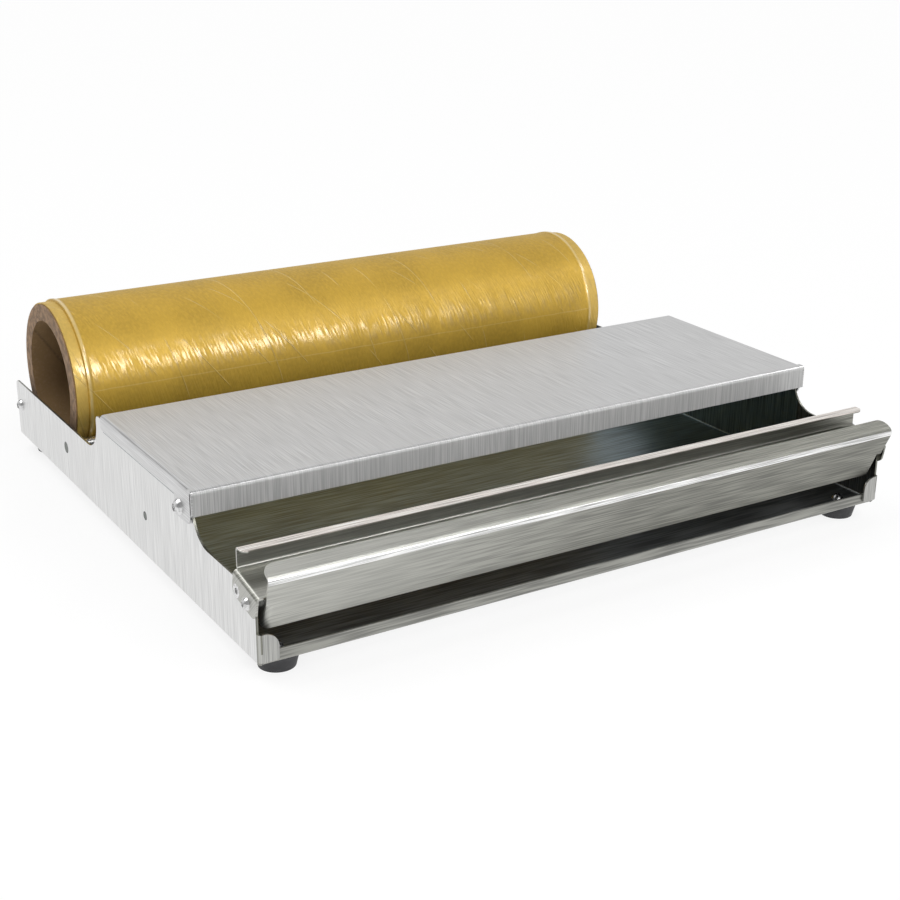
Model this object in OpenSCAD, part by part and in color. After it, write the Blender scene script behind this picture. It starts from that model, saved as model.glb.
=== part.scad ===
// Stainless counter dispenser for a roll of cling film.
// A folded tray carries the roll on two rods at the back, a worktop over the film's path,
// a film rest across the front and a tilting front bar that holds the film on the rest.
// X runs along the roll, Y from front to back, Z up. The origin is on the counter,
// under the middle of the whole dispenser.

/* [Tray] */
// Width over the two sides
body_w = 413; // [360:1:480]
// Depth from the front edge to the back edge
body_d = 378; // [370:1:430]
// Height of the low part of the sides, above the tray's underside
side_h = 39; // [36:0.5:41]
// Thickness of every folded sheet
sheet_t = 1.2; // [0.8:0.1:1.5]
// Inside radius of every fold
bend_r = 1.2; // [0.8:0.1:1.6]
// Radius of the hollow corners in the sides
step_r = 18; // [14:1:22]
// Radius of the sides' back top corner
back_r = 4; // [2:0.5:6]
// Height of the turned-up front and back lips
lip_h = 7.3; // [5:0.1:9]
// Width of the rounded tabs folded over the front lip
tab_w = 11; // [8:0.1:12]
// Height of those tabs
tab_h = 17.6; // [14:0.1:18]

/* [Worktop] */
// Height of the upper face above the counter
worktop_h = 76; // [72:1:84]
// Front face, behind the tray's front edge
worktop_y = 70.6; // [64:0.1:76]
// Depth from front to back
worktop_d = 135.5; // [120:0.5:150]
// Depth of the front lip
worktop_lip = 14; // [10:0.5:18]
// Depth of the back lip
worktop_hem = 8; // [6:0.5:12]
// Depth of the side flanges
worktop_flange = 8.8; // [7:0.1:10]
// Gap between a side flange and the tray's side
worktop_gap = 0.6; // [0.4:0.1:1.6]
// Distance of the fixing screws behind the front face
worktop_screw_y = 17.6; // [15:0.1:20]
// Distance of the fixing screws below the upper face
worktop_screw_drop = 14.1; // [13:0.1:16]
// How far the sides stand out behind the worktop
side_beyond = 12; // [8:0.5:16]
// How much lower the sides are there than under the worktop
side_drop = 2.6; // [1:0.1:6]

/* [Film rest] */
// Back face of the upright web, behind the tray's front edge
rest_y = 23.4; // [22:0.1:26]
// Height of the lip's upper face above the tray's underside
rest_h = 55.2; // [54:0.1:58]
// Width of the lip
rest_lip = 8.6; // [7:0.1:9]
// Slope of the floor of the rest, down to the front
rest_slope = 10.6; // [9:0.1:12]
// Distance of the floor below the lip at the web
rest_web = 11.6; // [10.5:0.1:12]
// Length of the floor along its slope
rest_floor = 27.2; // [26:0.1:28]
// Depth of the end lugs
rest_lug = 13.4; // [12.5:0.1:14]
// Radius of the lip's front corners
rest_lip_r = 4; // [2:0.1:5]
// Distance of the fixing screws behind the pivot axis
rest_screw_y = 12; // [11:0.1:13]
// Distance of the fixing screws above the pivot axis
rest_screw_z = 1.8; // [1:0.1:2.5]

/* [Front bar] */
// Pivot axis behind the tray's front edge
pivot_y = 7.3; // [6:0.1:8]
// Pivot axis above the tray's underside
pivot_z = 31.4; // [30:0.1:33]
// Forward lean of the face
bar_lean = 23; // [21:0.5:24]
// Distance of the face's inner side in front of the pivot axis
bar_reach = 9.2; // [9:0.1:10.5]
// Length of the face below the pivot
bar_drop = 9.6; // [8:0.1:11]
// Length of the face above the pivot
bar_rise = 21.5; // [19:0.1:24]
// Width of the upper lip
bar_lip = 10.8; // [9:0.1:12]
// Rise of the upper lip towards the back
bar_lip_rise = 28; // [22:1:32]
// Gap between the bar's lower corners and the sides
bar_gap = 3.1; // [1.2:0.1:4]
// How much wider the bar is at the lip than at its lower edge, each end
bar_flare = 1.7; // [0.5:0.1:2]
// Radius of the ears round the pivot
ear_r = 5.6; // [5:0.1:6]
// Height of the ears' roots above the pivot, up the face
ear_rise = 7; // [5.6:0.1:9]
// Inside radius of the bar's folds
bar_fold_r = 2.4; // [1.6:0.1:3]

/* [Film roll] */
// Width of the film
film_w = 382; // [340:1:386]
// Length of the card core
core_len = 398; // [390:1:400]
// Bore of the card core
core_bore = 76; // [70:0.5:82]
// Outside of the card core
core_d = 97; // [90:0.5:100]
// Outside of the wound film
film_d = 100.8; // [100:0.1:110]
// Height of the rim at the film's edges
film_rim = 0.5; // [0.2:0.1:0.8]
// Thickness of film that covers the core's ends
film_sleeve = 0.9; // [0.4:0.1:1.2]

/* [Rods] */
// Turning roller's axis in front of the tray's back edge
roller_in = 98.7; // [94:0.1:103]
// Rod and roller axes above the tray's underside
rod_z = 22.6; // [22:0.1:26]
// Diameter of the turning roller
roller_d = 8; // [7.8:0.1:10]
// Diameter of the roller's journals in the sides
journal_d = 7; // [6:0.1:7.6]
// Back rod's axis in front of the tray's back edge
back_rod_in = 6.7; // [6:0.1:10]
// Diameter of the back rod
back_rod_d = 6.5; // [6.2:0.1:9]
// Guide rod behind the tray's front edge
guide_y = 145; // [130:0.5:160]
// Guide rod above the tray's underside
guide_z = 26.2; // [22:0.1:30]
// Diameter of the guide rod
guide_d = 5; // [4:0.1:6]

/* [Feet] */
// Height of a foot
foot_h = 9; // [7:0.5:12]
// Diameter of a foot at the tray
foot_d = 24; // [20:0.1:26]
// Diameter of a foot at the counter
foot_sole_d = 19.6; // [16:0.1:22]
// Distance of the feet in from the sides
foot_in_x = 16.8; // [15:0.1:24]
// Distance of the feet in from the front and back edges
foot_in_y = 13.8; // [13:0.1:20]

/* [Screws] */
// Shank of the worktop screws
worktop_screw_d = 5; // [4:0.5:5]
// Shank of all other screws
screw_d = 4; // [3:0.5:4]
// Head of the worktop screws
worktop_head_d = 9.5; // [8:0.1:10]
// Head of the back rod's screws
rod_head_d = 8; // [7:0.1:9]
// Head of the pivot screws
pivot_head_d = 7; // [6:0.1:8]
// Head of the countersunk screws
flat_head_d = 7.6; // [6.5:0.1:8]
// Length of the screws in the back rod
rod_screw_len = 14; // [10:1:20]

/* [Hidden] */
$fn = 64;
// Straight pieces in one fold
bend_steps = 6;
// Clearance round a screw in its hole
screw_fit = 0.1;
// Clearance round the pieces that turn
running_fit = 0.06;
// Gap between the roll and what it lies on
roll_gap = 0.3;
// Gap between sheets that pass each other
sheet_gap = 0.3;
// Thickness of a nut, and its width over the flats as a share of the screw
nut_h = 3;
nut_ratio = 1.75;
// How far a screw stands out of its nut
screw_end = 1;
// Wall between a foot's pocket and its nut, and height of the nut above the sole
pocket_gap = 0.6;
sole_gap = 1;
// Height of a dome head as a share of its diameter
dome_ratio = 0.36;
// Size and depth of a socket as shares of the head
socket_ratio = 0.5;
socket_depth = 0.5;
flat_socket_depth = 0.8;
// Width of the rim at the film's edges, and of the slope behind it
rim_w = 2;
// Share of the bar lip's depth that its end corners round off
bar_corner = 0.8;
// Half width of an ear's neck as a share of the ear's radius
ear_neck = 0.8;
// Rounds of the front tabs' free ends as shares of their width, upper and lower
tab_top_share = 0.7;
tab_low_share = 0.15;
// How far a cutting outline reaches past what it cuts
over = 1;

// Outside radius of every fold
fold_r = bend_r + sheet_t;
half_out = body_w / 2;
half_in = half_out - sheet_t;
tray_z = foot_h;
// The sides' outer top edges meet the inside of the worktop's folds
fold_rest = bend_r - min(worktop_gap, bend_r);
side_top = worktop_h - fold_r + sqrt(bend_r * bend_r - fold_rest * fold_rest);
step_front = worktop_y + 2 * fold_r;
worktop_back = worktop_y + worktop_d;
step_back = worktop_back + side_beyond;
// The tabs' folds stand in front of the sides' front edges, and the front lip lies behind the tabs
front_lip_y = sheet_t + sheet_gap - fold_r;
lip_half = half_in - bend_r - sheet_gap;
worktop_half = half_out + worktop_gap + sheet_t;
worktop_screw = [worktop_y + worktop_screw_y, worktop_h - worktop_screw_drop];
lug_r = worktop_head_d / 2 + sheet_t;
tab_top_r = tab_w * tab_top_share;
tab_low_r = tab_w * tab_low_share;

rest_half = half_out + sheet_t;
rest_lug_r = rest_lug / 3;
// Back end of the rest's floor, on its upper face, where the sloping part starts
rest_foot = [rest_y - sheet_t, tray_z + rest_h - rest_web];
rest_end_drop = rest_floor * sin(rest_slope);
// Underside of the rest's floor over the tray's front edge
rest_under = rest_foot[1] - rest_foot[0] * tan(rest_slope) - sheet_t / cos(rest_slope);
side_front_top = min(tray_z + side_h, rest_under - sheet_gap);
pivot = [pivot_y, tray_z + pivot_z];
rest_screw = pivot + [rest_screw_y, rest_screw_z];

bar_turn = -(90 + bar_lean - bar_lip_rise);
bar_low_half = half_in - bar_gap;
bar_top_half = bar_low_half + bar_flare;
bar_outer_r = bar_fold_r + sheet_t;
// Half width of the face where the ears' roots end
bar_ear_half = bar_low_half + bar_flare * (ear_rise + bar_drop) / (bar_rise + bar_drop);

roller_y = body_d - roller_in;
back_rod_y = body_d - back_rod_in;
rod_axis_z = tray_z + rod_z;
// The roll rests on the roller and the back rod
to_roller = film_d / 2 + film_rim + roller_d / 2 + roll_gap;
to_back_rod = film_d / 2 + film_rim + back_rod_d / 2 + roll_gap;
rod_span = back_rod_y - roller_y;
along_span = (to_roller * to_roller - to_back_rod * to_back_rod + rod_span * rod_span) / (2 * rod_span);
roll_y = roller_y + along_span;
roll_z = rod_axis_z + sqrt(to_roller * to_roller - along_span * along_span);

// Foremost point of the bar's fold, which is the front of the whole dispenser
bar_fold = pivot + turned([bar_rise, bar_reach - bar_fold_r], 90 + bar_lean);
front_y = bar_fold[0] - bar_outer_r;
back_y = max(body_d, roll_y + film_d / 2 + film_rim);
middle_y = (front_y + back_y) / 2;

// Point p turned by angle a about the origin
function turned(p, a) = [p[0] * cos(a) - p[1] * sin(a), p[0] * sin(a) + p[1] * cos(a)];

function reversed(list) = [for (i = [len(list) - 1 : -1 : 0]) list[i]];

// One face of a folded strip. Each step is a straight run and the turn of the fold after it,
// v is the distance of the face from the strip's first face, to the left of the path,
// and r is the folds' inside radius.
function fold_face(steps, v, at, heading, r, i = 0) =
    let (
        turn = steps[i][1],
        normal = [-sin(heading), cos(heading)],
        stop = at + steps[i][0] * [cos(heading), sin(heading)],
        reach = turn > 0 ? r + sheet_t : -r,
        centre = stop + reach * normal,
        arm = (v - reach) * normal
    )
    concat(
        i == 0 ? [at + v * normal] : [],
        turn == 0
            ? [stop + v * normal]
            : [for (k = [0 : bend_steps]) centre + turned(arm, turn * k / bend_steps)],
        i + 1 < len(steps)
            ? fold_face(steps, v, centre - turned(reach * normal, turn), heading + turn, r, i + 1)
            : []
    );

// Section of a folded sheet that starts at a point with a heading
module folded(steps, at = [0, 0], heading = 0, r = bend_r) {
    polygon(concat(
        fold_face(steps, 0, at, heading, r),
        reversed(fold_face(steps, sheet_t, at, heading, r))
    ));
}

// The piece between a square corner at the origin and its round, with a margin outside the corner
module corner(r, margin = 0) {
    difference() {
        translate([-margin, -margin]) square(r + margin);
        translate([r, r]) circle(r);
    }
}

// Puts the parts, drawn from the tray's front edge, about the middle of the dispenser
module placed() {
    translate([0, -middle_y, 0]) children();
}

// Carries a (y, z) outline from x0 to x1
module across(x0, x1) {
    translate([x0, 0, 0]) rotate([90, 0, 90]) linear_extrude(x1 - x0) children();
}

// Carries an (x, z) outline from y0 to y1
module backwards(y0, y1) {
    translate([0, y1, 0]) rotate([90, 0, 0]) linear_extrude(y1 - y0) children();
}

module both_sides() {
    children();
    mirror([1, 0, 0]) children();
}

// A rod along X, centred, at a (y, z) point
module rod(at, d, length) {
    translate([-length / 2, at[0], at[1]]) rotate([0, 90, 0]) cylinder(d = d, h = length);
}

// A hole along X through whatever crosses a (y, z) point
module hole(at, d) {
    rod(at, d, 2 * body_w);
}

// A point on the right-hand outside at x, with the outward direction up
module on_side(x, at) {
    translate([x, at[0], at[1]]) rotate([0, 90, 0]) children();
}

// Screw with a domed socket head that sits at the origin and points down
module dome_screw(head_d, d, length) {
    head_h = head_d * dome_ratio;
    ball_r = (head_d * head_d / 4 + head_h * head_h) / (2 * head_h);
    translate([0, 0, -length]) cylinder(d = d, h = length);
    difference() {
        intersection() {
            cylinder(d = head_d, h = head_h);
            translate([0, 0, head_h - ball_r]) sphere(ball_r);
        }
        translate([0, 0, head_h * (1 - socket_depth)])
            cylinder(d = head_d * socket_ratio, h = head_h, $fn = 6);
    }
}

// Countersunk head, flush at the origin, that goes down to the shank
module flat_head(head_d, d) {
    head_h = (head_d - d) / 2;
    translate([0, 0, -head_h]) cylinder(d1 = d, d2 = head_d, h = head_h);
}

module flat_screw(head_d, d, length) {
    head_h = (head_d - d) / 2;
    difference() {
        union() {
            flat_head(head_d, d);
            translate([0, 0, -length]) cylinder(d = d, h = length - head_h / 2);
        }
        translate([0, 0, -head_h * flat_socket_depth])
            cylinder(d = head_d * socket_ratio, h = head_d, $fn = 6);
    }
}

// Nut or spacer that hangs down from the origin
module nut(d) {
    difference() {
        translate([0, 0, -nut_h]) cylinder(d = d * nut_ratio / cos(30), h = nut_h, $fn = 6);
        translate([0, 0, -2 * nut_h]) cylinder(d = d + screw_fit, h = 3 * nut_h);
    }
}

module spacer(outer_d, d, h) {
    difference() {
        translate([0, 0, -h]) cylinder(d = outer_d, h = h);
        translate([0, 0, -2 * h]) cylinder(d = d + 2 * screw_fit, h = 3 * h);
    }
}

// Tray

// One side seen from the right
module side_outline() {
    low_top = tray_z + side_h;
    tip_top = side_top - side_drop;
    difference() {
        union() {
            polygon([
                [0, tray_z], [body_d, tray_z], [body_d, low_top],
                [rest_y, low_top], [0, side_front_top]
            ]);
            translate([step_front, tray_z]) square([step_back - step_front, side_top - tray_z]);
            translate([step_front, low_top]) mirror([1, 0]) corner(step_r);
            translate([step_back, low_top]) corner(step_r);
        }
        translate([body_d, low_top]) rotate(180) corner(back_r);
        translate([worktop_back, tip_top]) square([step_back, side_top]);
        translate([step_back, tip_top]) rotate(180) corner(back_r);
    }
}

module tray_lip(y, heading, turn, z) {
    across(-lip_half, lip_half)
        folded([[fold_r, turn], [lip_h - fold_r, 0]], [y, z], heading);
}

// Tab folded round the right-hand front edge, with its free end rounded
module front_tab() {
    low = tray_z + fold_r;
    intersection() {
        translate([0, 0, low]) linear_extrude(tab_h - fold_r)
            mirror([1, 0]) folded([[fold_r, 90], [tab_w - fold_r, 0]], [-half_out, fold_r], -90);
        backwards(-fold_r - over, fold_r + over) difference() {
            translate([half_out - tab_w, tray_z]) square([tab_w, tab_h]);
            translate([half_out - tab_w, tray_z + tab_h]) mirror([0, 1]) corner(tab_top_r);
            translate([half_out - tab_w, low]) corner(tab_low_r);
        }
    }
}

module body_tray() {
    wall = side_top - tray_z - fold_r;
    floor_y = front_lip_y + fold_r;
    floor_back = body_d - fold_r;
    color("gainsboro") placed() difference() {
        union() {
            intersection() {
                backwards(0, body_d)
                    folded([[wall, 90], [body_w - 2 * fold_r, 90], [wall, 0]], [-half_out, side_top], -90);
                across(-half_out - over, half_out + over) side_outline();
                union() {
                    translate([-half_out, floor_y, 0]) cube([body_w, floor_back - floor_y, side_top]);
                    both_sides() translate([half_in - bend_r, 0, 0]) cube([fold_r, body_d, side_top]);
                }
            }
            tray_lip(floor_y + fold_r, 180, -90, tray_z + sheet_t);
            tray_lip(floor_back - fold_r, 0, 90, tray_z);
            both_sides() front_tab();
        }
        hole(worktop_screw, worktop_screw_d + 2 * screw_fit);
        hole(rest_screw, screw_d + 2 * screw_fit);
        hole(pivot, screw_d + 2 * screw_fit);
        hole([roller_y, rod_axis_z], journal_d + 2 * running_fit);
        hole([back_rod_y, rod_axis_z], screw_d + 2 * screw_fit);
        hole([guide_y, tray_z + guide_z], guide_d + screw_fit);
        both_sides() on_side(half_out + sheet_t, rest_screw)
            flat_head(flat_head_d + 2 * screw_fit, screw_d);
        each_foot() cylinder(d = screw_d + 2 * screw_fit, h = side_top);
    }
}

// Worktop

// One side flange seen from the right, with the lug for its screw
module flange_outline() {
    low = worktop_h - worktop_flange;
    front = worktop_y + fold_r;
    back = worktop_back;
    lug_low = worktop_screw[1] - lug_r;
    flange_r = worktop_flange / 2;
    lug_back = worktop_screw[0] + lug_r;
    difference() {
        union() {
            translate([front, low]) square([back - front, worktop_flange + over]);
            translate([front, lug_low]) square([lug_back - front, low - lug_low + over]);
        }
        translate([back, low]) mirror([1, 0]) corner(flange_r);
        translate([front, lug_low]) corner(lug_r);
        translate([lug_back, lug_low]) mirror([1, 0]) corner(lug_r);
    }
}

module worktop() {
    hem_half = half_in - sheet_gap;
    drop = worktop_screw_drop + lug_r;
    flat_y = worktop_y + fold_r;
    color("silver") placed() difference() {
        union() {
            across(-worktop_half, worktop_half) folded(
                [[fold_r, 90], [worktop_lip - fold_r, 0]], [flat_y + fold_r, worktop_h], 180
            );
            across(-hem_half, hem_half) folded(
                [[worktop_hem - fold_r, 90], [fold_r, 0]], [worktop_back, worktop_h - worktop_hem], 90
            );
            intersection() {
                backwards(flat_y, worktop_back - sheet_t) folded(
                    [[drop - fold_r, 90], [2 * (worktop_half - fold_r), 90], [drop - fold_r, 0]],
                    [worktop_half, worktop_h - drop], 90
                );
                union() {
                    across(-worktop_half, worktop_half) flange_outline();
                    translate([-worktop_half, worktop_y, worktop_h - fold_r])
                        cube([2 * worktop_half, worktop_d - fold_r, fold_r]);
                }
            }
        }
        hole(worktop_screw, worktop_screw_d + 2 * screw_fit);
    }
}

module worktop_screws() {
    length = sheet_t + worktop_gap + sheet_t + nut_h + screw_end;
    color("whitesmoke") placed() both_sides() on_side(worktop_half, worktop_screw)
        dome_screw(worktop_head_d, worktop_screw_d, length);
}

module worktop_spacers() {
    color("darkgray") placed() both_sides() on_side(half_out + worktop_gap, worktop_screw)
        spacer(worktop_head_d, worktop_screw_d, worktop_gap);
}

module worktop_nuts() {
    color("lightgray") placed() both_sides() on_side(half_in, worktop_screw) nut(worktop_screw_d);
}

// Film rest

// Draws in the plane of the rest's floor: X across, Y down its slope from the web
module on_rest_floor() {
    translate([0, rest_foot[0], rest_foot[1]]) rotate([rest_slope, 0, 0]) mirror([0, 1, 0]) children();
}

module rest_lug() {
    floor_half = rest_half - fold_r;
    on_rest_floor() intersection() {
        rotate([90, 0, 0]) mirror([0, 0, 1]) linear_extrude(rest_floor) mirror([1, 0]) folded(
            [[rest_lug - fold_r, -90], [fold_r, 0]], [-floor_half - bend_r, -rest_lug], 90
        );
        rotate([90, 0, 90]) linear_extrude(rest_half + over) difference() {
            translate([0, -rest_lug]) square([rest_floor, rest_lug + over]);
            translate([0, -rest_lug]) corner(rest_lug_r);
            translate([rest_floor, -rest_lug]) mirror([1, 0]) corner(rest_lug_r);
        }
    }
}

module film_rest() {
    lip_z = tray_z + rest_h - sheet_t;
    lip_run = rest_lip - fold_r;
    web_run = rest_web - sheet_t - 2 * bend_r;
    lip_front = rest_y - rest_lip;
    floor_half = rest_half - fold_r;
    color("silver") placed() difference() {
        union() {
            across(-floor_half, floor_half)
                folded([[lip_run, -90], [web_run, rest_slope - 90], [fold_r, 0]], [lip_front, lip_z], 0);
            on_rest_floor() translate([-floor_half, bend_r, -sheet_t])
                cube([2 * floor_half, rest_floor - bend_r, sheet_t]);
            both_sides() rest_lug();
        }
        both_sides() translate([floor_half, lip_front, lip_z - sheet_t])
            linear_extrude(3 * sheet_t) mirror([1, 0]) corner(rest_lip_r, over);
        hole(rest_screw, screw_d + 2 * screw_fit);
        hole(pivot, screw_d + 2 * screw_fit);
        both_sides() on_side(rest_half, rest_screw) flat_head(flat_head_d + 2 * screw_fit, screw_d);
    }
}

module film_rest_screws() {
    color("whitesmoke") placed() both_sides() on_side(rest_half, rest_screw)
        flat_screw(flat_head_d, screw_d, 2 * sheet_t + nut_h + screw_end);
}

module film_rest_nuts() {
    color("lightgray") placed() both_sides() on_side(half_in, rest_screw) nut(screw_d);
}

// Front bar

// Draws in the bar's own section: X up the face, Y forwards, from the pivot axis
module on_bar_section() {
    translate(pivot) rotate(90 + bar_lean) children();
}

// Lays a flat plate on the bar: X across, Y up the face, thickness forwards from its inner side
module on_bar_face() {
    translate([0, pivot[0], pivot[1]]) rotate([90 + bar_lean, 0, 0]) translate([0, 0, bar_reach]) children();
}

// Lays a flat plate on the bar's lip: X across, Y from the fold to the back, upwards from its underside
module on_bar_lip() {
    translate([0, bar_fold[0], bar_fold[1]]) rotate([bar_lip_rise, 0, 0])
        translate([0, 0, bar_fold_r]) children();
}

// Right-hand ear, folded back from the lower end of the face, with a round about the pivot
module bar_ear() {
    x = bar_low_half - sheet_t;
    neck = ear_r * ear_neck;
    root = bar_reach - bar_fold_r;
    on_bar_face() backwards(-bar_drop, ear_rise) folded(
        [[bar_outer_r, -90], [sheet_t, 0]], [bar_low_half - 2 * bar_outer_r, 0], 0, bar_fold_r
    );
    across(x, x + sheet_t) on_bar_section() union() {
        circle(ear_r);
        polygon([[-neck, 0], [-bar_drop, root], [ear_rise, root], [neck, 0]]);
    }
}

// The face and the lip, with slanting ends, hollows for the ears' folds and rounded lip corners
module bar_strip() {
    lip_depth = bar_lip - bar_outer_r;
    cut_h = 3 * sheet_t;
    fold_x = bar_low_half - bar_outer_r;
    beyond = bar_top_half + over;
    difference() {
        across(-bar_top_half, bar_top_half) on_bar_section() folded(
            [[bar_drop + bar_rise, bar_turn], [lip_depth, 0]], [-bar_drop, bar_reach], 0, bar_fold_r
        );
        both_sides() {
            on_bar_face() translate([0, 0, -sheet_t]) linear_extrude(cut_h) polygon([
                [bar_top_half, bar_rise], [bar_ear_half, ear_rise], [fold_x, ear_rise],
                [fold_x, -bar_drop - over], [beyond, -bar_drop - over], [beyond, bar_rise]
            ]);
            on_bar_lip() translate([bar_top_half, lip_depth, -sheet_t]) linear_extrude(cut_h)
                rotate(180) corner(lip_depth * bar_corner, over);
        }
    }
}

module front_bar() {
    color("silver") placed() difference() {
        union() {
            bar_strip();
            both_sides() bar_ear();
        }
        hole(pivot, screw_d + 2 * running_fit);
    }
}

module pivot_screws() {
    length = sheet_t + sheet_t + bar_gap + sheet_t + sheet_gap + nut_h + screw_end;
    color("whitesmoke") placed() both_sides() on_side(rest_half, pivot)
        dome_screw(pivot_head_d, screw_d, length);
}

module pivot_spacers() {
    color("darkgray") placed() both_sides() on_side(half_in, pivot)
        spacer(pivot_head_d, screw_d, bar_gap - sheet_gap);
}

module pivot_nuts() {
    color("lightgray") placed() both_sides()
        on_side(bar_low_half - sheet_t - sheet_gap, pivot) nut(screw_d);
}

// Rods under the roll and the film

module front_roller() {
    shoulder = 2 * (half_in - sheet_gap);
    color("gainsboro") placed() {
        rod([roller_y, rod_axis_z], roller_d, shoulder);
        rod([roller_y, rod_axis_z], journal_d, body_w);
    }
}

module back_rod() {
    length = 2 * half_in;
    at = [back_rod_y, rod_axis_z];
    color("gainsboro") placed() difference() {
        rod(at, back_rod_d, length);
        both_sides() on_side(half_in, at)
            translate([0, 0, -rod_screw_len]) cylinder(d = screw_d + screw_fit, h = 2 * rod_screw_len);
    }
}

module back_rod_screws() {
    color("whitesmoke") placed() both_sides() on_side(half_out, [back_rod_y, rod_axis_z])
        dome_screw(rod_head_d, screw_d, rod_screw_len);
}

module guide_rod() {
    color("gainsboro") placed() rod([guide_y, tray_z + guide_z], guide_d, body_w);
}

// Film roll

// Draws an outline of radius against length round the roll's axis
module about_roll() {
    translate([0, roll_y, roll_z]) rotate([0, 90, 0]) rotate_extrude() children();
}

module card_core() {
    color("peru") placed() about_roll()
        translate([core_bore / 2, -core_len / 2]) square([(core_d - core_bore) / 2, core_len]);
}

module film_winding() {
    bore_r = core_d / 2 + screw_fit / 2;
    sleeve_r = core_d / 2 + film_sleeve;
    film_r = film_d / 2;
    edge = film_w / 2;
    sleeve_end = core_len / 2 - film_sleeve;
    color("goldenrod") placed() about_roll() polygon([
        [bore_r, -sleeve_end], [sleeve_r, -sleeve_end],
        [sleeve_r, -edge], [film_r + film_rim, -edge + film_rim],
        [film_r + film_rim, -edge + rim_w], [film_r, -edge + 2 * rim_w],
        [film_r, edge - 2 * rim_w], [film_r + film_rim, edge - rim_w],
        [film_r + film_rim, edge - film_rim], [sleeve_r, edge],
        [sleeve_r, sleeve_end], [bore_r, sleeve_end]
    ]);
}

// Feet

function foot_x(side) = side * (half_out - foot_in_x);
function foot_y(back) = back ? body_d - foot_in_y : foot_in_y;

module each_foot() {
    for (side = [-1, 1], back = [false, true])
        translate([foot_x(side), foot_y(back), 0]) children();
}

// Tapered rubber foot with a pocket for its nut in the sole
module foot(side, back) {
    pocket_d = screw_d * nut_ratio / cos(30) + 2 * pocket_gap;
    pocket_h = sole_gap + nut_h + pocket_gap;
    color("#222222") placed() translate([foot_x(side), foot_y(back), 0]) difference() {
        cylinder(d1 = foot_sole_d, d2 = foot_d, h = foot_h);
        translate([0, 0, -1]) cylinder(d = pocket_d, h = pocket_h + 1);
        cylinder(d = screw_d + 2 * screw_fit, h = foot_h + 1);
    }
}

module front_left_foot() foot(-1, false);
module front_right_foot() foot(1, false);
module back_left_foot() foot(-1, true);
module back_right_foot() foot(1, true);

module foot_screws() {
    length = foot_h + sheet_t - pocket_gap;
    color("whitesmoke") placed() each_foot() translate([0, 0, tray_z + sheet_t])
        dome_screw(pivot_head_d, screw_d, length);
}

module foot_nuts() {
    color("lightgray") placed() each_foot()
        translate([0, 0, sole_gap + nut_h + pocket_gap]) nut(screw_d);
}

body_tray();
worktop();
worktop_screws();
worktop_spacers();
worktop_nuts();
film_rest();
film_rest_screws();
film_rest_nuts();
front_bar();
pivot_screws();
pivot_spacers();
pivot_nuts();
front_roller();
back_rod();
back_rod_screws();
guide_rod();
card_core();
film_winding();
front_left_foot();
front_right_foot();
back_left_foot();
back_right_foot();
foot_screws();
foot_nuts();
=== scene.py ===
"""Looks of a stainless cling film dispenser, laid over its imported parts.

Each operator finishes one piece or one group of pieces, and the last one sets the stage.
Lengths are in metres, in the frame of the parts: X along the roll, Y to the back, Z up.
"""

import math
from functools import partial

import bpy
from mathutils import Matrix, Vector


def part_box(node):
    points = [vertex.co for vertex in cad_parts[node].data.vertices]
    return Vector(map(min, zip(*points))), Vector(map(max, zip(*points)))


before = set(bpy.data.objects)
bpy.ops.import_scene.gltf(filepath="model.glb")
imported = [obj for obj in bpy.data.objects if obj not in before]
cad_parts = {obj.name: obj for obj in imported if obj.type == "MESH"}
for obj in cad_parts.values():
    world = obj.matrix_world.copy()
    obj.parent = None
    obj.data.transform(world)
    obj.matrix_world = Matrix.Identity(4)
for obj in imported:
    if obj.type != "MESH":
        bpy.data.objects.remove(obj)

bl_info = {
    "name": "Cling film dispenser",
    "version": (1, 0, 0),
    "blender": (4, 5, 0),
    "location": "View3D > Sidebar > Dispenser",
    "description": "Finishes the dispenser's sheet metal, film roll, rods, screws and feet",
    "category": "Object",
}

# Layers of brush lines: times the finest line's width and length, and the share of each layer
BRUSH_LAYERS = ((1.0, 1.0, 0.72), (2.3, 1.7, 0.2), (6.0, 2.5, 0.08))
# Shift in the noise from one layer of brush lines to the next, and from one crease to the next
LAYER_SHIFT = 5.0
CREASE_SHIFT = 3.7
# Middle of the noise's values
NOISE_MIDDLE = 0.5
# Darkest and lightest shade of the brush lines, on the plain steel and on the zones of painted shade and
# highlight
BRIGHT_SHADES = (0.83, 1.11)
ZONE_SHADES = (0.6, 1.4)
# Depth within which a point counts as on the end face of a rod, and of the card core
ROD_END_DEPTH = 0.0001
CARD_END_DEPTH = 0.0002
# Height over the foot screws' heads up to which a fastener counts as one of them
FOOT_SCREW_MARGIN = 0.0005
# Slices of the noise, so that no two patterns are alike
STROKE_SLICE = 1.0
SAW_SLICE = 2.0
GRAIN_SLICE = 3.0
SLACK_SLICE = 4.0
TEAR_SLICE = 7.0
CLOUD_SLICE = 9.0
STEEP_SLICE = 11.0
SLANT_SLICE = 23.0
# Width of the camera's sensor in millimetres
SENSOR_WIDTH = 36.0
# Plain white of the room and the floor's glow, and the black of the painted shadow ring round a rod's
# end
WHITE = (1.0, 1.0, 1.0, 1.0)
BLACK = (0.01, 0.01, 0.01, 1.0)


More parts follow.
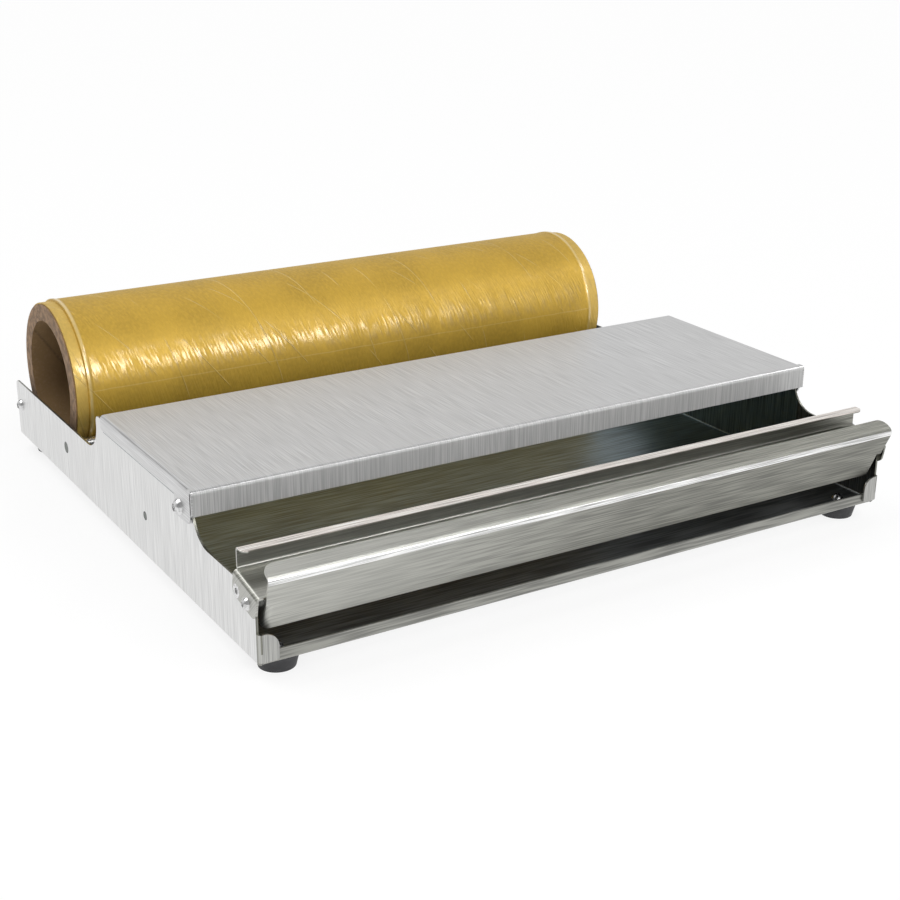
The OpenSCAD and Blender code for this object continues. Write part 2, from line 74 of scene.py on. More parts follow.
class Value:
    """A node's output that takes part in arithmetic."""

    def __init__(self, graph, socket):
        self.graph = graph
        self.socket = socket

    def math(self, operation, *others):
        """A Math node with this value first."""
        sockets = dict(enumerate((self, *others)))
        return self.graph.add("Math", {"operation": operation}, sockets)

    def __add__(self, other):
        return self.math("ADD", other)

    def __sub__(self, other):
        return self.math("SUBTRACT", other)

    def __mul__(self, other):
        return self.math("MULTIPLY", other)

    def __truediv__(self, other):
        return self.math("DIVIDE", other)

    def __gt__(self, other):
        return self.math("GREATER_THAN", other)

    def __lt__(self, other):
        return self.math("LESS_THAN", other)

    def __or__(self, other):
        return self.math("MAXIMUM", other)

    def __abs__(self):
        return self.math("ABSOLUTE")

    def __neg__(self):
        return self * -1.0

    def __radd__(self, other):
        return self + other

    def __rmul__(self, other):
        return self * other

    def __rsub__(self, other):
        return -self + other

    def __rtruediv__(self, other):
        return self.graph.add("Math", {"operation": "DIVIDE"}, {0: other, 1: self})


class Graph:
    """The nodes of a material or of the world, added one at a time."""

    def __init__(self, owner):
        self.owner = owner
        owner.use_nodes = True
        self.tree = owner.node_tree
        self.tree.nodes.clear()
        self._places = None

    def add(self, kind, settings=None, sockets=None, output=0):
        """Adds a node by type, with its settings and what its sockets hold, and returns an output."""
        node = self.tree.nodes.new("ShaderNode" + kind)
        for key, value in (settings or {}).items():
            setattr(node, key, value)
        for key, value in (sockets or {}).items():
            self.feed(node.inputs[key], value)
        return Value(self, node.outputs[output]) if node.outputs else node

    def feed(self, socket, value):
        """Links a value to a socket, or sets a constant on it."""
        if isinstance(value, Value):
            self.tree.links.new(value.socket, socket)
        else:
            socket.default_value = value

    def split(self, vector):
        """The three parts of a vector."""
        first = self.add("SeparateXYZ", sockets={0: vector})
        outputs = first.socket.node.outputs
        return [Value(self, outputs[axis]) for axis in range(3)]

    def places(self):
        """X, Y and Z of the point on the piece."""
        if self._places is None:
            self._places = self.split(self.add("TexCoord", output="Object"))
        return self._places

    def facing(self):
        """X, Y and Z of the direction that the surface faces."""
        return self.split(self.add("NewGeometry", output="Normal"))

    def noise(self, x, y, z, detail=2.0):
        """Smooth noise, from 0 to 1, whose grain is 1 in the given measures."""
        vector = self.add("CombineXYZ", sockets={0: x, 1: y, 2: z})
        return self.add("TexNoise", sockets={"Vector": vector, "Scale": 1.0, "Detail": detail})

    def grains(self, size, detail):
        """Smooth noise whose grains have one size in every direction."""
        x, y, z = self.places()
        return self.noise(x / size, y / size, z / size, detail)

    def ramp(self, value, start, end):
        """0 at the start, 1 at the end, and smooth between them."""
        settings = {"interpolation_type": "SMOOTHSTEP", "clamp": True}
        return self.add("MapRange", settings, {"Value": value, "From Min": start, "From Max": end})

    def blend(self, factor, start, end):
        """A number that goes from the start to the end as a factor goes from 0 to 1."""
        sockets = {"Value": factor, "To Min": start, "To Max": end}
        return self.add("MapRange", {"clamp": True}, sockets)

    def tint(self, factor, first, second):
        """A colour between two."""
        sockets = {0: factor, 6: first, 7: second}
        return self.add("Mix", {"data_type": "RGBA"}, sockets, output=2)

    def shades(self, factor, rgb, dark, light):
        """A colour between a darker and a lighter shade of one."""
        return self.tint(factor, shaded(rgb, dark), shaded(rgb, light))

    def bump(self, height, distance, strength):
        """A normal from a height between 0 and 1 that stands for a distance."""
        sockets = {"Height": height, "Distance": distance, "Strength": strength}
        return self.add("Bump", sockets=sockets)

    def finish(self, **sockets):
        """Ends the material in one shader, named by its sockets with underscores for spaces."""
        named = {key.replace("_", " "): value for key, value in sockets.items()}
        shader = self.add("BsdfPrincipled", sockets=named)
        self.add("OutputMaterial", sockets={"Surface": shader})
        return self.owner


def colour(rgb):
    """A colour with its alpha, as node sockets hold it."""
    return (rgb[0], rgb[1], rgb[2], 1.0)


def shaded(rgb, factor):
    """A colour made darker or lighter."""
    return (rgb[0] * factor, rgb[1] * factor, rgb[2] * factor, 1.0)


def span(first, second):
    """Length of two steps at right angles to each other."""
    return (first * first + second * second).math("SQRT")


def about_axis(graph, name):
    """Steps to the back and up from the axis of a round piece."""
    low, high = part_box(name)
    centre = (low + high) / 2.0
    y, z = graph.places()[1:]
    return y - centre.y, z - centre.z


def outer_radius(name):
    """Radius of a round piece that lies along X."""
    low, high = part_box(name)
    return (high.z - low.z) / 2.0


def streaks(graph, steel, across, along):
    """Brush lines that change quickly across the brushing and slowly along it, from 0 to 1."""
    total = 0.0
    for layer, (wider, longer, share) in enumerate(BRUSH_LAYERS):
        width = steel.brush_width * wider
        length = steel.brush_length * longer
        lines = graph.noise(across / width, along / length, layer * LAYER_SHIFT, detail=1.0)
        total = lines * share + total
    return total


def along_x(graph, steel, coarseness=1.0):
    """Brush lines along the roll's direction."""
    x, y, z = graph.places()
    return streaks(graph, steel, (y + z) / coarseness, x)


def brushed(name, steel, rgb, lines, zones=(), matt=None):
    """Brushed stainless sheet with the brush lines that lines(graph) gives.

    Each zone is a colour, painted shade in some and painted highlight in others, and a function of the
    graph that says where it lies.
    What matt(graph) gives is added to the roughness.
    """
    graph = Graph(bpy.data.materials.new(name))
    brush = lines(graph)
    patches = graph.grains(steel.patch_size, detail=3.0)
    contrast = steel.brush_contrast
    light = graph.ramp(brush, NOISE_MIDDLE - contrast, NOISE_MIDDLE + contrast)
    base = graph.shades(light, rgb, *BRIGHT_SHADES)
    wear = graph.ramp(patches, start=0.35, end=0.75) * steel.patch_share
    surface = graph.tint(wear, base, shaded(rgb, steel.patch_shade))
    for zone_rgb, where in zones:
        surface = graph.tint(where(graph), surface, graph.shades(light, zone_rgb, *ZONE_SHADES))
    spread = steel.roughness_spread
    rough = graph.blend(brush, steel.roughness - spread, steel.roughness + spread)
    rough = rough + patches * steel.patch_roughness
    if matt:
        rough = rough + matt(graph)
    return graph.finish(
        Base_Color=surface,
        Metallic=1.0,
        Roughness=rough,
        Normal=graph.bump(brush, steel.brush_depth, steel.brush_bump),
    )


def dress(material, *nodes):
    """Puts a material on CAD nodes."""
    for name in nodes:
        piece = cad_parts[name]
        if not piece.material_slots:
            piece.data.materials.append(material)
        for slot in piece.material_slots:
            slot.material = material


class SteelSettings(bpy.types.PropertyGroup):
    """Colours, painted shade and highlights, and brushing of the metal pieces."""

    tray_colour: bpy.props.FloatVectorProperty(
        name="Tray", description="Colour of the tray's steel",
        subtype="COLOR", default=(0.72, 0.72, 0.715),
    )
    # Painted shade: the tray's inside and the crevice under the worktop's flanges are painted this
    # darker colour
    inside_painted_shade: bpy.props.FloatVectorProperty(
        name="Inside", description="Colour of the tray's duller inside",
        subtype="COLOR", default=(0.128, 0.168, 0.182),
    )
    # Painted shade: a darker, more neutral colour on the tray's inside in front of the worktop
    mouth_painted_shade: bpy.props.FloatVectorProperty(
        name="Mouth", description="Colour of the tray's inside in front of the worktop",
        subtype="COLOR", default=(0.105, 0.11, 0.11),
    )
    # Painted shade on the tray's front lip and cut edges, the worktop's lip, the rest below its lip and
    # on its lug folds, and the bar's right end
    painted_shade_colour: bpy.props.FloatVectorProperty(
        name="Dull", description="Colour of the duller steel at the front and on cut edges",
        subtype="COLOR", default=(0.19, 0.19, 0.165),
    )
    worktop_colour: bpy.props.FloatVectorProperty(
        name="Worktop", description="Colour of the worktop's steel",
        subtype="COLOR", default=(0.62, 0.62, 0.62),
    )
    rail_colour: bpy.props.FloatVectorProperty(
        name="Rails", description="Colour of the bar's and the rest's steel",
        subtype="COLOR", default=(0.55, 0.55, 0.515),
    )
    # Painted highlight: the rest's upward lip is painted lighter and warmer than the rest's steel
    rest_lip_highlight: bpy.props.FloatVectorProperty(
        name="Rest's lip", description="Colour of the film rest's lip",
        subtype="COLOR", default=(0.8, 0.74, 0.69),
    )
    # Painted highlight: the bar's fold is painted this lighter colour
    fold_highlight_colour: bpy.props.FloatVectorProperty(
        name="Bar's fold", description="Colour of the bar's rubbed fold",
        subtype="COLOR", default=(0.8, 0.8, 0.79),
    )
    rod_colour: bpy.props.FloatVectorProperty(
        name="Rods", description="Colour of the turned rods",
        subtype="COLOR", default=(0.5, 0.5, 0.5),
    )
    # The rods' end faces are painted this much darker colour than their sides
    rod_end_colour: bpy.props.FloatVectorProperty(
        name="Rod ends", description="Colour of the rods' sawn ends",
        subtype="COLOR", default=(0.16, 0.175, 0.16),
    )
    fastener_colour: bpy.props.FloatVectorProperty(
        name="Screws", description="Colour of the screws and nuts",
        subtype="COLOR", default=(0.72, 0.72, 0.72),
    )
    brush_width: bpy.props.FloatProperty(
        name="Brush width", description="Width of one brush line", unit="LENGTH", default=0.00045,
    )
    brush_length: bpy.props.FloatProperty(
        name="Brush length", description="Length of one brush line", unit="LENGTH", default=0.032,
    )
    brush_depth: bpy.props.FloatProperty(
        name="Brush depth", description="Depth of one brush line", unit="LENGTH", default=0.00002,
    )
    brush_bump: bpy.props.FloatProperty(
        name="Brush bump", description="Strength of the brush lines' relief",
        subtype="FACTOR", default=0.3,
    )
    brush_contrast: bpy.props.FloatProperty(
        name="Brush contrast", description="Spread of brush values from dark to light", default=0.13,
    )
    floor_coarseness: bpy.props.FloatProperty(
        name="Floor lines", description="Times the brush width on the tray's floor and lips",
        default=2.5,
    )
    patch_size: bpy.props.FloatProperty(
        name="Patches", description="Size of duller patches", unit="LENGTH", default=0.06,
    )
    patch_share: bpy.props.FloatProperty(
        name="Patch share", description="How far a patch covers the brush lines",
        subtype="FACTOR", default=0.4,
    )
    patch_shade: bpy.props.FloatProperty(
        name="Patch shade", description="Shade of a patch", subtype="FACTOR", default=0.95,
    )
    patch_roughness: bpy.props.FloatProperty(
        name="Patch roughness", description="Roughness added on a patch",
        subtype="FACTOR", default=0.06,
    )
    roughness: bpy.props.FloatProperty(
        name="Roughness", description="Roughness of the brushed faces", subtype="FACTOR", default=0.3,
    )
    roughness_spread: bpy.props.FloatProperty(
        name="Roughness spread", description="Change of roughness from line to line",
        subtype="FACTOR", default=0.1,
    )
    lip_roughness: bpy.props.FloatProperty(
        name="Lip roughness", description="Roughness added on the worktop's lip",
        subtype="FACTOR", default=0.4,
    )
    bar_roughness: bpy.props.FloatProperty(
        name="Bar roughness", description="Roughness added on the front bar behind its fold",
        subtype="FACTOR", default=0.14,
    )
    # Share of painted shade on the worktop's lip
    lip_painted_shade: bpy.props.FloatProperty(
        name="Lip dulling", description="How dull the worktop's lip is", subtype="FACTOR", default=0.16,
    )
    # Share of painted shade on the bar's right end
    bar_painted_shade: bpy.props.FloatProperty(
        name="Bar dulling", description="How dull the bar's right end is", subtype="FACTOR", default=0.8,
    )
    # Share of painted shade on the rest below its lip, growing towards its right end
    rest_painted_shade: bpy.props.FloatProperty(
        name="Rest dulling", description="How dull the rest is below its lip",
        subtype="FACTOR", default=0.28,
    )
    rest_end_painted_shade: bpy.props.FloatProperty(
        name="Rest's end", description="How dull the rest is below its lip at its right end",
        subtype="FACTOR", default=0.85,
    )
    # Share of painted shade on the folds of the rest's lugs
    lug_fold_painted_shade: bpy.props.FloatProperty(
        name="Lug dulling", description="How dull the folds of the rest's lugs are",
        subtype="FACTOR", default=0.75,
    )
    # Share of painted shade on the tray's front lip
    front_painted_shade: bpy.props.FloatProperty(
        name="Front dulling", description="How dull the tray's front lip is",
        subtype="FACTOR", default=0.82,
    )
    # The front tabs get less painted shade than the front lip
    tab_lesser_shade: bpy.props.FloatProperty(
        name="Tabs", description="How much less dull the front tabs are than the front lip",
        subtype="FACTOR", default=0.25,
    )
    ring_width: bpy.props.FloatProperty(
        name="Rings", description="Width of a turned ring or a saw mark", unit="LENGTH", default=0.0004,
    )
    ring_length: bpy.props.FloatProperty(
        name="Ring length", description="Length over which a turned ring stays the same",
        unit="LENGTH", default=0.01,
    )
    smear_width: bpy.props.FloatProperty(
        name="Smears", description="Width of a smear on a rod, and length of a saw mark",
        unit="LENGTH", default=0.004,
    )
    smear_length: bpy.props.FloatProperty(
        name="Smear length", description="Length of a smear on a rod", unit="LENGTH", default=0.03,
    )
    wear_size: bpy.props.FloatProperty(
        name="Wear", description="Size of a worn spot on a screw", unit="LENGTH", default=0.002,
    )
    wear_depth: bpy.props.FloatProperty(
        name="Wear depth", description="Depth of a worn spot on a screw", unit="LENGTH", default=0.00003,
    )
    # Painted shade on the screws on the tray's floor
    foot_screw_painted_shade: bpy.props.FloatProperty(
        name="Foot screws", description="Shade of the screws on the tray's floor",
        subtype="FACTOR", default=0.2,
    )
    sheet: bpy.props.FloatProperty(
        name="Sheet", description="Thickness of the sheet metal", unit="LENGTH", default=0.0012,
    )
    flange: bpy.props.FloatProperty(
        name="Flange", description="Depth of the worktop's side flanges", unit="LENGTH", default=0.0088,
    )


class RollSettings(bpy.types.PropertyGroup):
    """Colours of the card and the film, and the film's wrinkles and creases."""

    card_colour: bpy.props.FloatVectorProperty(
        name="Card", description="Colour of the card core",
        subtype="COLOR", default=(0.225, 0.14, 0.06),
    )
    card_end: bpy.props.FloatVectorProperty(
        name="Card ends", description="Colour of the core's cut ends",
        subtype="COLOR", default=(0.27, 0.175, 0.105),
    )
    ply: bpy.props.FloatProperty(
        name="Ply", description="Thickness of one ply of card", unit="LENGTH", default=0.0009,
    )
    fibre: bpy.props.FloatProperty(
        name="Fibre", description="Size of a fibre in the card", unit="LENGTH", default=0.0016,
    )
    fibre_depth: bpy.props.FloatProperty(
        name="Fibre depth", description="Depth of the card's relief", unit="LENGTH", default=0.0002,
    )
    mottle: bpy.props.FloatProperty(
        name="Mottle", description="Size of a darker area on the card", unit="LENGTH", default=0.02,
    )
    tear_width: bpy.props.FloatProperty(
        name="Tears", description="Width of a torn spot on a cut end", unit="LENGTH", default=0.0035,
    )
    tear_turn: bpy.props.FloatProperty(
        name="Tear turn", description="Turn about the axis that a torn spot covers",
        subtype="ANGLE", default=0.12,
    )
    seam_pitch: bpy.props.FloatProperty(
        name="Seam pitch", description="Distance between turns of the card's seam",
        unit="LENGTH", default=0.09,
    )
    seam_rise: bpy.props.FloatProperty(
        name="Seam rise", description="Rise of the card's seam along the core for each radian",
        unit="LENGTH", default=0.025,
    )
    film_colour: bpy.props.FloatVectorProperty(
        name="Film", description="Colour of the wound film",
        subtype="COLOR", default=(0.48, 0.3, 0.038),
    )
    # The rims' pale line is a painted glint, the creases and free end are partly paler film and partly
    # painted highlight, and the sleeve is paler film
    film_pale_and_glint: bpy.props.FloatVectorProperty(
        name="Film, pale", description="Colour of the film's creases, rims and free end",
        subtype="COLOR", default=(0.78, 0.6, 0.24),
    )
    gloss_colour: bpy.props.FloatVectorProperty(
        name="Gloss", description="Colour of the film's soft gloss",
        subtype="COLOR", default=(1.0, 0.92, 0.66),
    )
    lustre: bpy.props.FloatProperty(
        name="Lustre", description="Share of golden lustre in the film", subtype="FACTOR", default=0.42,
    )
    film_width: bpy.props.FloatProperty(
        name="Film width", description="Width of the wound film", unit="LENGTH", default=0.382,
    )
    rim: bpy.props.FloatProperty(
        name="Rim", description="Width of the clear rim at the film's edges",
        unit="LENGTH", default=0.0016,
    )
    wrinkle: bpy.props.FloatProperty(
        name="Wrinkle", description="Width of a wrinkle in the film", unit="LENGTH", default=0.0014,
    )
    wrinkle_length: bpy.props.FloatProperty(
        name="Wrinkle length", description="Length of a wrinkle", unit="LENGTH", default=0.0112,
    )
    wrinkle_depth: bpy.props.FloatProperty(
        name="Wrinkle depth", description="Depth of a wrinkle", unit="LENGTH", default=0.0009,
    )
    wrinkle_slant: bpy.props.FloatProperty(
        name="Wrinkle slant", description="Angle between the roll's length and its wrinkles",
        subtype="ANGLE", default=math.radians(74.0),
    )
    slack_width: bpy.props.FloatProperty(
        name="Slack", description="Width of a slack fold in the film", unit="LENGTH", default=0.012,
    )
    slack_length: bpy.props.FloatProperty(
        name="Slack length", description="Length of a slack fold", unit="LENGTH", default=0.05,
    )
    grain_width: bpy.props.FloatProperty(
        name="Grain", description="Width of the film's grain", unit="LENGTH", default=0.002,
    )
    grain_length: bpy.props.FloatProperty(
        name="Grain length", description="Length of the grain round the roll",
        unit="LENGTH", default=0.003,
    )
    cloud_width: bpy.props.FloatProperty(
        name="Clouds", description="Width of a darker cloud in the film", unit="LENGTH", default=0.03,
    )
    cloud_length: bpy.props.FloatProperty(
        name="Cloud length", description="Length of a cloud round the roll", unit="LENGTH", default=0.05,
    )
    crease_gap: bpy.props.FloatProperty(
        name="Creases", description="Distance between the long creases", unit="LENGTH", default=0.03,
    )
    crease_length: bpy.props.FloatProperty(
        name="Crease length", description="Length of a long crease", unit="LENGTH", default=0.03,
    )
    crease_width: bpy.props.FloatProperty(
        name="Crease width", description="Width of a long crease", unit="LENGTH", default=0.0006,
    )
    crease_slant: bpy.props.FloatProperty(
        name="Crease slant", description="Angle between the roll's length and the flatter creases",
        subtype="ANGLE", default=math.radians(52.0),
    )
    loose_turn: bpy.props.FloatProperty(
        name="Loose film", description="Turn of the loosest film from the top to the front",
        subtype="ANGLE", default=math.radians(71.0),
    )
    loose_width: bpy.props.FloatProperty(
        name="Loose width", description="Turn to each side over which the film gets taut",
        subtype="ANGLE", default=math.radians(15.0),
    )
    end_turn: bpy.props.FloatProperty(
        name="Film end", description="Turn of the film's free end from the top to the front",
        subtype="ANGLE", default=math.radians(84.0),
    )
    end_wander: bpy.props.FloatProperty(
        name="End wander", description="Turn over which the free end wanders",
        subtype="ANGLE", default=0.02,
    )
    end_width: bpy.props.FloatProperty(
        name="End width", description="Width of the line at the free end", unit="LENGTH", default=0.0005,
    )


class RubberSettings(bpy.types.PropertyGroup):
    """Colour and grain of the feet."""

    rubber_colour: bpy.props.FloatVectorProperty(
        name="Rubber", description="Colour of the feet",
        subtype="COLOR", default=(0.022, 0.022, 0.024),
    )
    grain: bpy.props.FloatProperty(
        name="Grain", description="Size of the rubber's grain", unit="LENGTH", default=0.0006,
    )
    grain_depth: bpy.props.FloatProperty(
        name="Grain depth", description="Depth of the rubber's grain", unit="LENGTH", default=0.00008,
    )
    dust_width: bpy.props.FloatProperty(
        name="Dust", description="Width of a dusty area", unit="LENGTH", default=0.006,
    )
    dust_height: bpy.props.FloatProperty(
        name="Dust height", description="Height of a dusty area", unit="LENGTH", default=0.003,
    )


class StageSettings(bpy.types.PropertyGroup):
    """Camera, floor and studio light."""

    camera_place: bpy.props.FloatVectorProperty(
        name="Camera", description="Where the camera stands",
        subtype="TRANSLATION", default=(-0.4839, -0.8157, 0.3840),
    )
    camera_turn: bpy.props.FloatProperty(
        name="Azimuth", description="Camera's angle round the dispenser",
        subtype="ANGLE", default=math.radians(-31.42),
    )
    camera_height: bpy.props.FloatProperty(
        name="Elevation", description="Camera's angle above the counter",
        subtype="ANGLE", default=math.radians(20.9),
    )
    camera_roll: bpy.props.FloatProperty(
        name="Roll", description="Camera's turn about its view",
        subtype="ANGLE", default=math.radians(0.43),
    )
    lens: bpy.props.FloatProperty(
        name="Lens", description="Focal length in millimetres", default=63.55,
    )
    near_limit: bpy.props.FloatProperty(
        name="Near limit", description="Least distance that the camera sees",
        unit="LENGTH", default=0.01,
    )
    floor_colour: bpy.props.FloatVectorProperty(
        name="Floor", description="Colour of the floor", subtype="COLOR", default=(0.9, 0.9, 0.9),
    )
    floor_reach: bpy.props.FloatProperty(
        name="Floor reach", description="Half the floor's width", unit="LENGTH", default=6.0,
    )
    near_floor: bpy.props.FloatProperty(
        name="Near floor", description="Radius within which the floor counts as near by",
        unit="LENGTH", default=0.24,
    )
    far_floor: bpy.props.FloatProperty(
        name="Far floor", description="Radius beyond which the floor counts as far away",
        unit="LENGTH", default=0.5,
    )
    near_glow: bpy.props.FloatProperty(
        name="Near glow", description="Share of plain white in the floor near by",
        subtype="FACTOR", default=0.8,
    )
    far_glow: bpy.props.FloatProperty(
        name="Far glow", description="Share of plain white in the floor far away",
        subtype="FACTOR", default=0.97,
    )
    room_front: bpy.props.FloatProperty(
        name="Room, front", description="Strength of the room's light from the front", default=0.35,
    )
    room_back: bpy.props.FloatProperty(
        name="Room, back", description="Strength of the room's light from the back", default=0.85,
    )
    flag: bpy.props.FloatVectorProperty(
        name="Flag", description="Direction of the dark flag that draws the left-hand folds",
        subtype="DIRECTION", default=(-0.34, 0.8, 0.49),
    )
    light_target: bpy.props.FloatVectorProperty(
        name="Light target", description="Point that the lamps face",
        subtype="TRANSLATION", default=(0.0, 0.1, 0.05),
    )
    front_place: bpy.props.FloatVectorProperty(
        name="Front light", description="Where the long front light stands",
        subtype="TRANSLATION", default=(0.08, -1.5, 0.75),
    )
    front_size: bpy.props.FloatVectorProperty(
        name="Front size", description="Width and height of the front light",
        size=2, unit="LENGTH", default=(1.6, 0.35),
    )
    front_power: bpy.props.FloatProperty(
        name="Front power", description="Power of the front light", unit="POWER", default=15.0,
    )
    key_place: bpy.props.FloatVectorProperty(
        name="Key light", description="Where the light overhead stands",
        subtype="TRANSLATION", default=(-0.8, 0.4, 1.4),
    )
    key_size: bpy.props.FloatVectorProperty(
        name="Key size", description="Width and height of the light overhead",
        size=2, unit="LENGTH", default=(1.2, 1.2),
    )
    key_power: bpy.props.FloatProperty(
        name="Key power", description="Power of the light overhead", unit="POWER", default=11.0,
    )
    strip_place: bpy.props.FloatVectorProperty(
        name="Strip light", description="Where the strip that draws the folds stands",
        subtype="TRANSLATION", default=(0.7, -0.75, 1.15),
    )
    strip_size: bpy.props.FloatVectorProperty(
        name="Strip size", description="Width and height of the strip",
        size=2, unit="LENGTH", default=(1.9, 0.14),
    )
    strip_power: bpy.props.FloatProperty(
        name="Strip power", description="Power of the strip", unit="POWER", default=6.5,
    )


class DISPENSER_OT_tray(bpy.types.Operator):
    """Brushes the tray: along the floor and lips, and up the sides and front tabs, with painted shade on
    its inside, front lip and cut edges
    """

    bl_idname = "dispenser.tray"
    bl_label = "Tray"

    def execute(self, context):
        steel = context.scene.dispenser_steel
        sheet = steel.sheet
        low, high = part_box("body_tray")
        work_low, work_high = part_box("worktop")
        rest_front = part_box("film_rest")[0].y
        stand_off = work_high.x - high.x
        # Each limit lies inside the sheet or beside a bend, and so parts one face from the next
        side = high.x - 2.5 * sheet
        side_front = high.x - 2.8 * sheet
        edge = high.x - 1.8 * sheet
        inner = high.x - 0.8 * sheet
        floor = low.z + 0.7 * sheet
        above_lip = low.z + 6.0 * sheet
        tab = low.y + sheet
        lip = low.y + 2.2 * sheet
        crevice = work_high.z - steel.flange - stand_off - 0.5 * sheet

        def lines(graph):
            x, y, z = graph.places()
            upright = (abs(x) > side) | (y < tab)
            level = along_x(graph, steel, steel.floor_coarseness)
            raised = streaks(graph, steel, x + y, z)
            return level + (raised - level) * upright

        # Painted shade inside the tray and in the crevice under the worktop's flanges, leaving out the
        # corner in front of the rest
        def inside(graph):
            x, y, z = graph.places()
            bright_corner = (y < rest_front) * (abs(x) > side_front) * (z > above_lip)
            within = (abs(x) < inner) * (z > floor) * (y > lip) * (1.0 - bright_corner)
            under_flange = (abs(x) > inner) * (z > crevice) * (y > work_low.y) * (y < work_high.y)
            return within | under_flange

        # Painted shade on the tray's inside in front of the worktop
        def mouth(graph):
            y = graph.places()[1]
            return inside(graph) * (y < work_low.y)

        # Painted shade on the tray's front lip, with less of it on the front tabs
        def front(graph):
            y = graph.places()[1]
            return (y < lip) * steel.front_painted_shade - (y < tab) * steel.tab_lesser_shade

        # Painted shade on the cut edges of the tray's sides
        def cut_edge(graph):
            x, y, z = graph.places()
            sideways = abs(graph.facing()[0])
            return (sideways < 0.5) * (abs(x) > edge) * (z > above_lip)

        zones = (
            (steel.inside_painted_shade, inside),
            (steel.mouth_painted_shade, mouth),
            (steel.painted_shade_colour, front),
            (steel.painted_shade_colour, cut_edge),
        )
        dress(brushed("tray_steel", steel, steel.tray_colour, lines, zones), "body_tray")
        return {"FINISHED"}


class DISPENSER_OT_worktop(bpy.types.Operator):
    """Brushes the worktop from front to back and down its lip, which is rougher and painted with shade
    """

    bl_idname = "dispenser.worktop"
    bl_label = "Worktop"

    def execute(self, context):
        steel = context.scene.dispenser_steel
        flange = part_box("body_tray")[1].x + 0.7 * steel.sheet
        lip_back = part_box("worktop")[0].y + 0.5 * steel.sheet

        def lines(graph):
            x, y, z = graph.places()
            down = streaks(graph, steel, x, y + z)
            beside = streaks(graph, steel, z, y)
            return down + (beside - down) * (abs(x) > flange)

        def on_lip(graph):
            return graph.places()[1] < lip_back

        # Painted shade on the worktop's lip
        def lip_shade_mask(graph):
            return on_lip(graph) * steel.lip_painted_shade

        def rough_lip(graph):
            return on_lip(graph) * steel.lip_roughness

        zones = ((steel.painted_shade_colour, lip_shade_mask),)
        dress(brushed("worktop_steel", steel, steel.worktop_colour, lines, zones, rough_lip), "worktop")
        return {"FINISHED"}


class DISPENSER_OT_rails(bpy.types.Operator):
    """Brushes the film rest and the front bar along their length, with painted shade towards their right
    ends
    """

    bl_idname = "dispenser.rails"
    bl_label = "Film rest and bar"

    def execute(self, context):
        steel = context.scene.dispenser_steel
        dress(self.rest(steel), "film_rest")
        dress(self.bar(steel), "front_bar")
        return {"FINISHED"}

    def rest(self, steel):
        """Steel of the film rest, with a painted highlight on its lip, and painted shade below it and on
        the folds of its lugs.
        """
        lip_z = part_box("film_rest")[1].z - 0.5 * steel.sheet
        bar_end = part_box("front_bar")[1].x
        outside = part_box("body_tray")[1].x
        lines = partial(along_x, steel=steel)

        # Painted highlight on the rest's lip
        def lip(graph):
            return graph.places()[2] > lip_z

        # Painted shade below the rest's lip, deeper towards its right end
        def below(graph):
            x, y, z = graph.places()
            rightward = graph.ramp(x, 0.5 * bar_end, 0.95 * bar_end)
            return (z < lip_z) * graph.blend(rightward, steel.rest_painted_shade, steel.rest_end_painted_shade)

        # Painted shade on the upward folds of the lugs
        def lug_fold(graph):
            x = graph.places()[0]
            upward = graph.facing()[2]
            return (upward > 0.15) * (abs(x) > outside) * steel.lug_fold_painted_shade

        zones = (
            (steel.rest_lip_highlight, lip),
            (steel.painted_shade_colour, below),
            (steel.painted_shade_colour, lug_fold),
        )
        return brushed("rest_steel", steel, steel.rail_colour, lines, zones)

    def bar(self, steel):
        """Steel of the front bar, with a painted highlight on its fold, painted shade towards its right
        end, and rougher behind the fold.
        """
        low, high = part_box("front_bar")
        fold_y = low.y + 0.28 * steel.sheet
        lines = partial(along_x, steel=steel)

        # Painted highlight along the bar's fold
        def fold(graph):
            return graph.places()[1] < fold_y

        # Painted shade on the bar's face, growing towards its right end
        def duller(graph):
            x, y, z = graph.places()
            rightward = graph.ramp(x, -1.2 * high.x, 0.3 * high.x)
            return rightward * (y > fold_y) * steel.bar_painted_shade

        def rough(graph):
            return (graph.places()[1] > fold_y) * steel.bar_roughness

        zones = ((steel.painted_shade_colour, duller), (steel.fold_highlight_colour, fold))
        return brushed("rail_steel", steel, steel.rail_colour, lines, zones, rough)


class DISPENSER_OT_rods(bpy.types.Operator):
    """Turns fine rings on the roller and the rods, with darker end faces and a painted shadow ring round
    each
    """

    bl_idname = "dispenser.rods"
    bl_label = "Rods"

    def execute(self, context):
        steel = context.scene.dispenser_steel
        for name in ("front_roller", "back_rod", "guide_rod"):
            dress(self.material(steel, name), name)
        return {"FINISHED"}

    def material(self, steel, name):
        """Turned steel for one rod, with darker end faces and a painted shadow ring round each."""
        graph = Graph(bpy.data.materials.new(name + "_steel"))
        x, y, z = graph.places()
        back, up = about_axis(graph, name)
        radius = outer_radius(name)
        at_end = abs(x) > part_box(name)[1].x - ROD_END_DEPTH
        rings = graph.noise(x / steel.ring_width, y / steel.ring_length, z / steel.ring_length)
        smears = graph.noise(x / steel.smear_length, y / steel.smear_width, z / steel.smear_width)
        saw = graph.noise(y / steel.smear_width, z / steel.ring_width, SAW_SLICE)
        side = graph.shades(smears, steel.rod_colour, dark=0.8, light=1.15)
        face = graph.shades(saw, steel.rod_end_colour, dark=0.7, light=1.3)
        # Painted shadow: a black ring round the rim of each end face
        shadow = graph.ramp(span(back, up), start=0.72 * radius, end=0.86 * radius)
        return graph.finish(
            Base_Color=graph.tint(at_end, side, graph.tint(shadow, face, BLACK)),
            Metallic=1.0,
            Roughness=graph.blend(rings, start=0.18, end=0.36) + at_end * 0.15,
            Normal=graph.bump(rings, steel.brush_depth, steel.brush_bump),
        )


